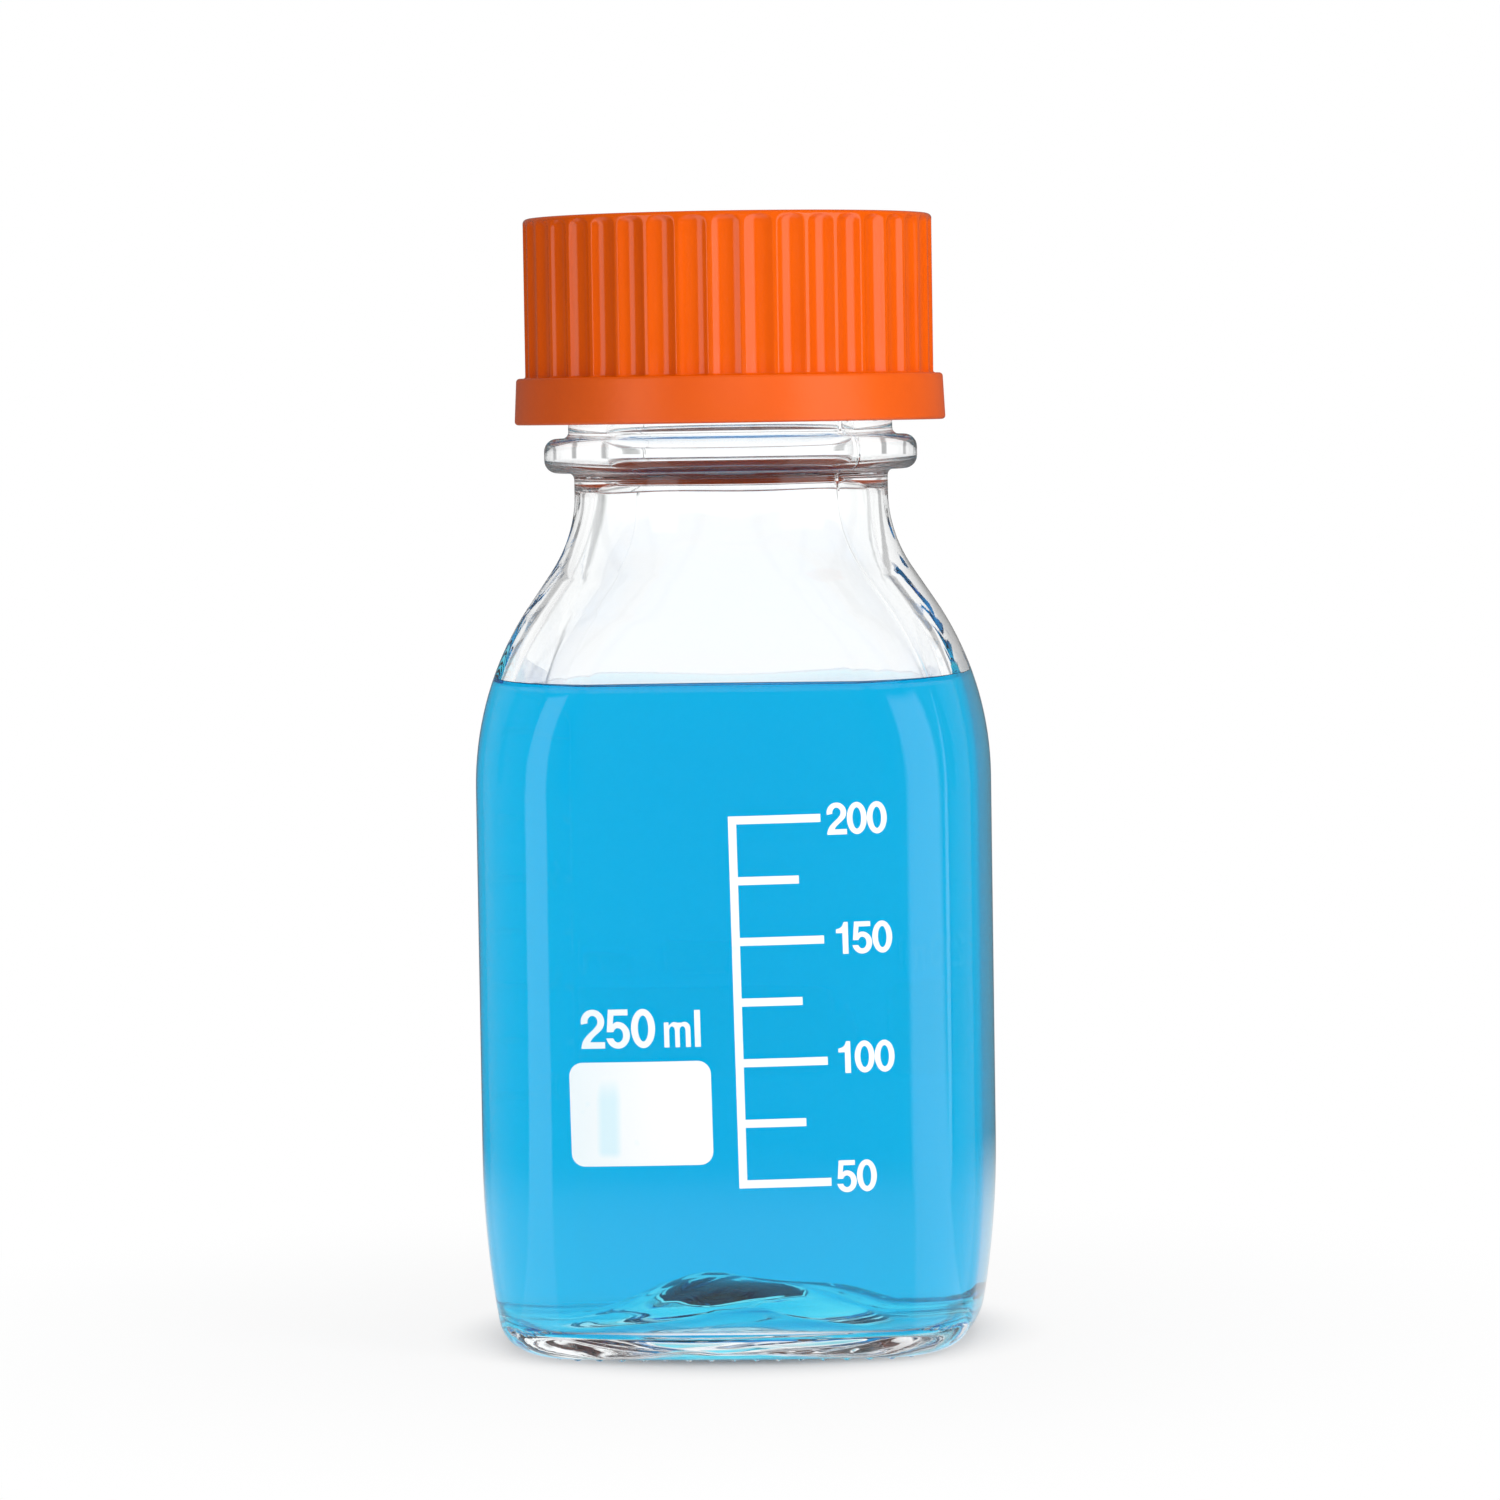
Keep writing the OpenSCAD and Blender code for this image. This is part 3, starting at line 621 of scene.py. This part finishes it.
unit = {
    "m": [[(0, 0), (0.13, 0), (0.13, 0.4)] + ellipse(0.207, 0.42, 0.077, 0.12, 180, 0, 10) + [(0.284, 0), (0.4, 0)]
          + ellipse(0.477, 0.42, 0.077, 0.12, 180, 0, 10) + [(0.554, 0), (0.68, 0)]
          + ellipse(0.53, 0.475, 0.15, 0.175, 0, 118, 10) + ellipse(0.27, 0.475, 0.15, 0.175, 62, 120, 6)
          + [(0.125, 0.56), (0.12, 0.645), (0, 0.645)]],
    "l": [[(0, 0), (0.15, 0), (0.15, 0.95), (0, 0.95)]],
}


def placed(outlines, x, z, size):
    return [[(x + px * size, z + pz * size) for px, pz in line] for line in outlines]


def roundedBox(x, z, w, h, r, steps=8):
    cx, cz = w / 2 - r, h / 2 - r
    corners = [(cx, cz, 0), (-cx, cz, 90), (-cx, -cz, 180), (cx, -cz, 270)]
    return [(x + px, z + pz) for sx, sz, a in corners for px, pz in arcPoints(sx, sz, r, a, a + 90, steps)]


def scaleOutline():
    s = scaleMarks
    w = s["lineW"] / 2
    top = s["z"] + s["step"] * (s["marks"] - 1)
    line = [(s["x"] - w, top + w), (s["x"] - w, s["z"] - w)]
    for i in range(s["marks"]):
        end = s["x"] - w + (s["long"] if i % 2 == 0 else s["short"])
        z = s["z"] + i * s["step"]
        if i:
            line.append((s["x"] + w, z - w))
        line += [(end, z - w), (end, z + w)]
        if i < s["marks"] - 1:
            line.append((s["x"] + w, z + w))
    return line


def frontFace(x, z):
    # the front panel bows out a little and leans back below the waist
    crownR = body["crownR"]
    half = body["half"]
    if z < body["waistZ"]:
        half -= body["waistR"] - math.sqrt(body["waistR"] ** 2 - (body["waistZ"] - z) ** 2)
    return crownR - half - math.sqrt(crownR ** 2 - x * x)


def printObject(name, outlines, material):
    # fills the outlines, cuts them into strips that can follow the panel, and gives them a thickness
    curve = bpy.data.curves.new(name, "CURVE")
    curve.dimensions = "2D"
    curve.fill_mode = "BOTH"
    turn = Matrix.Rotation(math.radians(scaleMarks["turn"]), 2)
    pivot = Vector((scaleMarks["x"], scaleMarks["z"]))
    for line in outlines:
        spline = curve.splines.new("POLY")
        spline.points.add(len(line) - 1)
        spline.use_cyclic_u = True
        for point, (x, z) in zip(spline.points, line):
            spot = turn @ (Vector((x, z)) - pivot) + pivot
            point.co = (spot.x, spot.y, 0, 1)
    flat = bpy.data.objects.new(name + "Flat", curve)
    mesh = bpy.data.meshes.new_from_object(flat)
    bpy.data.objects.remove(flat)
    bm = bmesh.new()
    bm.from_mesh(mesh)
    bpy.data.meshes.remove(mesh)
    bmesh.ops.remove_doubles(bm, verts=bm.verts, dist=1e-4)
    low = min(v.co.x for v in bm.verts)
    high = max(v.co.x for v in bm.verts)
    for x in np.arange(math.ceil(low) + 0.37, high, 1.0):
        everything = bm.verts[:] + bm.edges[:] + bm.faces[:]
        bmesh.ops.bisect_plane(bm, geom=everything, plane_co=(x, 0, 0), plane_no=(1, 0, 0))
    bmesh.ops.triangulate(bm, faces=bm.faces[:])
    bm.verts.index_update()
    sunk, proud = -printLook["sink"], printLook["thickness"]
    flatPoints = [(v.co.x, v.co.y) for v in bm.verts]
    count = len(flatPoints)
    points = [(x, frontFace(x, z) - out, z) for out in (proud, sunk) for x, z in flatPoints]
    faces = []
    for f in bm.faces:
        a, b, c = [v.index for v in f.verts]
        if f.normal.z < 0:
            a, c = c, a
        faces += [(a, b, c), (c + count, b + count, a + count)]
    for e in bm.edges:
        if len(e.link_faces) == 1:
            f = e.link_faces[0]
            loop = [v.index for v in f.verts]
            a, b = e.verts[0].index, e.verts[1].index
            if loop[(loop.index(a) + 1) % 3] != b:
                a, b = b, a
            if f.normal.z < 0:
                a, b = b, a
            faces.append((b, a, a + count, b + count))
    bm.free()
    obj = makeObject(name, points, faces, material, "bottle", smooth=False)
    return obj


def softBand(tree, value, start, end, startEdge, endEdge):
    # 1 between start and end, with a soft edge on the inside of each
    up = addNode(tree, "ShaderNodeMapRange", {
        "interpolation_type": "SMOOTHSTEP", "Value": value, "From Min": start, "From Max": start + startEdge})
    down = addNode(tree, "ShaderNodeMapRange", {
        "interpolation_type": "SMOOTHSTEP", "Value": value, "From Min": end, "From Max": end - endEdge})
    return addNode(tree, "ShaderNodeMath", {"operation": "MULTIPLY", 0: up, 1: down})


def whiteEnamel():
    # fired ceramic ink: a dense satin white, a shade thinner in places, with a painted streak of light in the marking
    # field
    material, tree = newMaterial("firedWhiteEnamel")
    place = addNode(tree, "ShaderNodeTexCoord").outputs["Object"]
    patch = addNode(tree, "ShaderNodeTexNoise", {
        "Vector": place, "Scale": perMetre(printLook["patch"]), "Detail": 2.0})
    thinInkAndPaintedLight = addNode(tree, "ShaderNodeMapRange", {"Value": patch, "From Min": 0.62, "From Max": 0.75})
    # a painted streak of light in the marking field, and a paler cyan tint towards its left edge
    spot = addNode(tree, "ShaderNodeSeparateXYZ", {0: place})
    left, right, low, high = [v * mm for v in printLook["paintedLightStreak"]]
    soft = printLook["streakEdge"] * mm
    streak = addNode(tree, "ShaderNodeMath", {
        "operation": "MULTIPLY", 0: softBand(tree, spot.outputs["X"], left, right, soft, soft),
        1: softBand(tree, spot.outputs["Z"], low, high, soft, 3 * soft)})
    outward = addNode(tree, "ShaderNodeMapRange", {
        "Value": spot.outputs["X"], "From Min": -9 * mm, "From Max": -18 * mm, "To Max": 0.4})
    for other in (streak, outward):
        thinInkAndPaintedLight = addNode(tree, "ShaderNodeMath", {"operation": "MAXIMUM", 0: thinInkAndPaintedLight, 1: other})
    colour = addNode(tree, "ShaderNodeMix", {
        "data_type": "RGBA", 0: thinInkAndPaintedLight, 6: hexColour(printLook["colour"]), 7: hexColour(printLook["shade"])})
    ink = addNode(tree, "ShaderNodeBsdfPrincipled", {
        "Base Color": colour.outputs[2], "Roughness": printLook["roughness"]})
    addNode(tree, "ShaderNodeOutputMaterial", {"Surface": ink})
    return material


print("printing the scale")
enamel = whiteEnamel()
scale = printObject("scaleLines", [scaleOutline()], enamel)
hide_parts("scale_marks")
panel = printObject("markingField", [roundedBox(field["x"], field["z"], field["w"], field["h"], field["r"])], enamel)
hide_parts("marking_field")
for text, x, z in numbers:
    size = numerals["height"]
    for i, figure in enumerate(text):
        shift = 0.12 * size if figure == "1" else 0  # the one is narrow and sits in the middle of its space
        shape = placed(figures[figure], x + i * size * numerals["advance"] + shift, z, size)
        printObject("figure" + text + "_" + str(i), shape, enamel)
size = volume["height"]
for i, figure in enumerate(volume["text"]):
    shape = placed(figures[figure], volume["x"] + i * size * volume["advance"], volume["z"], size)
    printObject("volume" + str(i), shape, enamel)
printObject("volumeM", placed(unit["m"], volume["unitX"], volume["z"], size), enamel)
printObject("volumeL", placed(unit["l"], volume["barX"], volume["z"], size), enamel)


studio = dict(paper="#f6f6f6", fill=0.39, backlight=1.12, room=0.05, backdrop=0.15, topDark=0.1, flagDark=0.55,
              flagCount=8.0)
# shade on the paper, by distance from the middle in millimetres: as seen, and as the base glass shows it
footShade = [dict(start=20, full=40, inner=0.9, outer=0.12, fade=40, end=130),
             dict(start=20, full=30, inner=0.1, outer=0.9, fade=33, end=55)]
# how bright the paper beside the foot looks in a reflection, and where that fades out, in millimetres
nearPaper = dict(level=0.8, start=80, end=260)
# softboxes that shiny surfaces mirror: azimuth right of the front and height above the table, in degrees
panels = [dict(start=36, end=80, edge=6, low=-100, high=38, soft=5, strength=1.5),
          dict(start=-61, end=-35, edge=2, low=-3, high=36, soft=1.5, strength=1.35)]
# distance and eye in metres, angles in degrees, lens in millimetres
view = dict(distance=0.75, eyeX=0.00185, eyeZ=0.117, yaw=2.96, pitch=3.33, roll=-0.89, lens=143.8)


def straightRays(tree):
    # 1 for what the camera sees straight, in a reflection or through glass, 0 for the light that falls on things
    rays = addNode(tree, "ShaderNodeLightPath")
    seen = rays.outputs["Is Camera Ray"]
    for kind in ("Is Glossy Ray", "Is Transmission Ray"):
        seen = addNode(tree, "ShaderNodeMath", {"operation": "MAXIMUM", 0: seen, 1: rays.outputs[kind]})
    return rays, seen


def mirroredRoom(tree, direction):
    # what shiny surfaces see: a dark room with softboxes, and the lit backdrop behind
    way = addNode(tree, "ShaderNodeVectorMath", {"operation": "NORMALIZE", 0: direction})
    way = addNode(tree, "ShaderNodeSeparateXYZ", {0: way})
    ahead = addNode(tree, "ShaderNodeMath", {"operation": "MULTIPLY", 0: way.outputs["Y"], 1: -1.0})
    azimuth = addNode(tree, "ShaderNodeMath", {"operation": "ARCTAN2", 0: way.outputs["X"], 1: ahead})
    height = addNode(tree, "ShaderNodeMath", {"operation": "ARCSINE", 0: way.outputs["Z"]})
    level = addNode(tree, "ShaderNodeMapRange", {
        "interpolation_type": "SMOOTHSTEP", "Value": way.outputs["Y"], "From Min": 0.2, "From Max": 0.8,
        "To Min": studio["room"], "To Max": studio["backdrop"]})
    for panel in panels:
        start, end, edge, low, high, soft = [math.radians(panel[key]) for key in (
            "start", "end", "edge", "low", "high", "soft")]
        shape = addNode(tree, "ShaderNodeMath", {
            "operation": "MULTIPLY", 0: softBand(tree, azimuth, start, end, edge, edge),
            1: softBand(tree, height, low, high, soft, soft)})
        level = addNode(tree, "ShaderNodeMath", {
            "operation": "MULTIPLY_ADD", 0: shape, 1: panel["strength"], 2: level})
    return level


def paleSweep():
    # matt white paper that runs on into the backdrop; only the shade under and round the foot shows on it
    material, tree = newMaterial("paleSweep")
    paper = addNode(tree, "ShaderNodeBsdfDiffuse", {"Color": hexColour(studio["paper"])})
    place = addNode(tree, "ShaderNodeTexCoord").outputs["Object"]
    away = addNode(tree, "ShaderNodeVectorMath", {"operation": "LENGTH", 0: place}).outputs["Value"]
    rays, seen = straightRays(tree)
    throughGlass = rays.outputs["Is Transmission Ray"]
    shades = []
    for part in footShade:
        core = addNode(tree, "ShaderNodeMapRange", {
            "interpolation_type": "SMOOTHSTEP", "Value": away, "From Min": part["start"] * mm,
            "From Max": part["full"] * mm, "To Min": part["inner"], "To Max": part["outer"]})
        fade = addNode(tree, "ShaderNodeMapRange", {
            "interpolation_type": "SMOOTHSTEP", "Value": away, "From Min": part["fade"] * mm,
            "From Max": part["end"] * mm, "To Min": 1.0, "To Max": 0.0})
        shades.append(addNode(tree, "ShaderNodeMath", {"operation": "MULTIPLY", 0: core, 1: fade}))
    shade = addNode(tree, "ShaderNodeMix", {"data_type": "FLOAT", 0: throughGlass, 2: shades[0], 3: shades[1]})
    # how bright the paper is: plain white, brighter behind glass, and the room itself in a reflection
    nearby = addNode(tree, "ShaderNodeMapRange", {
        "interpolation_type": "SMOOTHSTEP", "Value": away, "From Min": nearPaper["start"] * mm,
        "From Max": nearPaper["end"] * mm, "To Min": nearPaper["level"], "To Max": 0.0})
    nearby = addNode(tree, "ShaderNodeMath", {"operation": "MAXIMUM", 0: nearby, 1: mirroredRoom(tree, place)})
    mirrored = addNode(tree, "ShaderNodeMath", {
        "operation": "GREATER_THAN", 0: rays.outputs["Is Glossy Ray"], 1: throughGlass})
    level = addNode(tree, "ShaderNodeMix", {"data_type": "FLOAT", 0: throughGlass, 2: 1.0, 3: studio["backlight"]})
    level = addNode(tree, "ShaderNodeMix", {"data_type": "FLOAT", 0: mirrored, 2: level, 3: nearby})
    bright = addNode(tree, "ShaderNodeEmission", {"Color": (1, 1, 1, 1), "Strength": level})
    share = addNode(tree, "ShaderNodeMath", {"operation": "SUBTRACT", 0: 1.0, 1: shade})
    share = addNode(tree, "ShaderNodeMath", {"operation": "MULTIPLY", 0: share, 1: seen})
    both = addNode(tree, "ShaderNodeMixShader", {0: share, 1: paper, 2: bright})
    addNode(tree, "ShaderNodeOutputMaterial", {"Surface": both})
    return material


def studioWorld():
    # white all round; glass also sees a slightly darker ceiling and thin dark flags that draw its edges
    world = bpy.data.worlds.new("studio")
    world.use_nodes = True
    tree = world.node_tree
    tree.nodes.clear()
    rays, seen = straightRays(tree)
    place = addNode(tree, "ShaderNodeTexCoord").outputs["Generated"]
    way = addNode(tree, "ShaderNodeSeparateXYZ", {0: place})
    azimuth = addNode(tree, "ShaderNodeMath", {"operation": "ARCTAN2", 0: way.outputs["Y"], 1: way.outputs["X"]})
    turns = addNode(tree, "ShaderNodeMath", {"operation": "MULTIPLY", 0: azimuth, 1: studio["flagCount"]})
    wave = addNode(tree, "ShaderNodeMath", {"operation": "COSINE", 0: turns})
    backlight = studio["backlight"]
    flags = addNode(tree, "ShaderNodeMapRange", {
        "interpolation_type": "SMOOTHSTEP", "Value": wave, "From Min": -0.95, "From Max": -0.7,
        "To Min": backlight * (1 - studio["flagDark"]), "To Max": backlight})
    ceiling = addNode(tree, "ShaderNodeMapRange", {
        "interpolation_type": "SMOOTHSTEP", "Value": way.outputs["Z"], "From Min": 0.25, "From Max": 0.7,
        "To Min": 1.0, "To Max": 1 - studio["topDark"]})
    behind = addNode(tree, "ShaderNodeMath", {"operation": "MULTIPLY", 0: flags, 1: ceiling})
    level = addNode(tree, "ShaderNodeMix", {"data_type": "FLOAT", 0: seen, 2: studio["fill"], 3: 1.0})
    level = addNode(tree, "ShaderNodeMix", {
        "data_type": "FLOAT", 0: rays.outputs["Is Glossy Ray"], 2: level, 3: mirroredRoom(tree, place)})
    level = addNode(tree, "ShaderNodeMix", {
        "data_type": "FLOAT", 0: rays.outputs["Is Transmission Ray"], 2: level, 3: behind})
    sky = addNode(tree, "ShaderNodeBackground", {"Color": (1, 1, 1, 1), "Strength": level})
    addNode(tree, "ShaderNodeOutputWorld", {"Surface": sky})
    return world


def softbox(name, place, target, size, power):
    lamp = bpy.data.lights.new(name, "AREA")
    lamp.shape = "RECTANGLE"
    lamp.size, lamp.size_y = size
    lamp.energy = power
    obj = bpy.data.objects.new(name, lamp)
    obj.location = place
    obj.rotation_euler = (Vector(target) - Vector(place)).to_track_quat("-Z", "Y").to_euler()
    obj.visible_camera = False
    obj.visible_glossy = False  # the room that shiny surfaces mirror and glass shows is in the world
    obj.visible_transmission = False
    scene.collection.objects.link(obj)


print("setting up the studio")
floorMesh = bpy.data.meshes.new("floor")
floorMesh.from_pydata([(-3, -3, 0), (3, -3, 0), (3, 3, 0), (-3, 3, 0)], [], [(0, 1, 2, 3)])
floorMesh.materials.append(paleSweep())
floor = bpy.data.objects.new("floor", floorMesh)
scene.collection.objects.link(floor)
scene.world = studioWorld()

# places and sizes in metres, power in watts
lamps = dict(
    key=dict(place=(0.55, -0.5, 0.35), target=(0, 0, 0.1), size=(0.3, 0.4), power=2.9),
    front=dict(place=(0.1, -0.9, 0.4), target=(0, 0, 0.09), size=(0.5, 0.5), power=2.35),
    top=dict(place=(0.1, 0.0, 0.8), target=(0, 0, 0.1), size=(0.5, 0.5), power=1.0),
    back=dict(place=(-0.25, 0.9, 0.4), target=(0, 0, 0.1), size=(0.5, 0.5), power=2.0))
for name, lamp in lamps.items():
    softbox(name, **lamp)

camera = bpy.data.cameras.new("camera")
camera.lens = view["lens"]
camera.sensor_width = 36
camera.clip_start = 0.05
eye = bpy.data.objects.new("camera", camera)
yaw, pitch = math.radians(view["yaw"]), math.radians(view["pitch"])
forward = Vector((-math.sin(yaw) * math.cos(pitch), math.cos(yaw) * math.cos(pitch), -math.sin(pitch)))
side = Vector((math.cos(yaw), math.sin(yaw), 0))
level = Matrix((side, side.cross(forward), -forward)).transposed()
eye.location = Vector((math.sin(yaw), -math.cos(yaw), 0)) * view["distance"] + side * view["eyeX"]
eye.location.z = view["eyeZ"]
eye.rotation_euler = (level @ Matrix.Rotation(math.radians(view["roll"]), 3, "Z")).to_euler()
scene.collection.objects.link(eye)
scene.camera = eye
scene.view_settings.view_transform = "Standard"
scene.cycles.max_bounces = 32  # light runs a long way inside the glass wall before it leaves
scene.cycles.glossy_bounces = 24
scene.cycles.transmission_bounces = 32
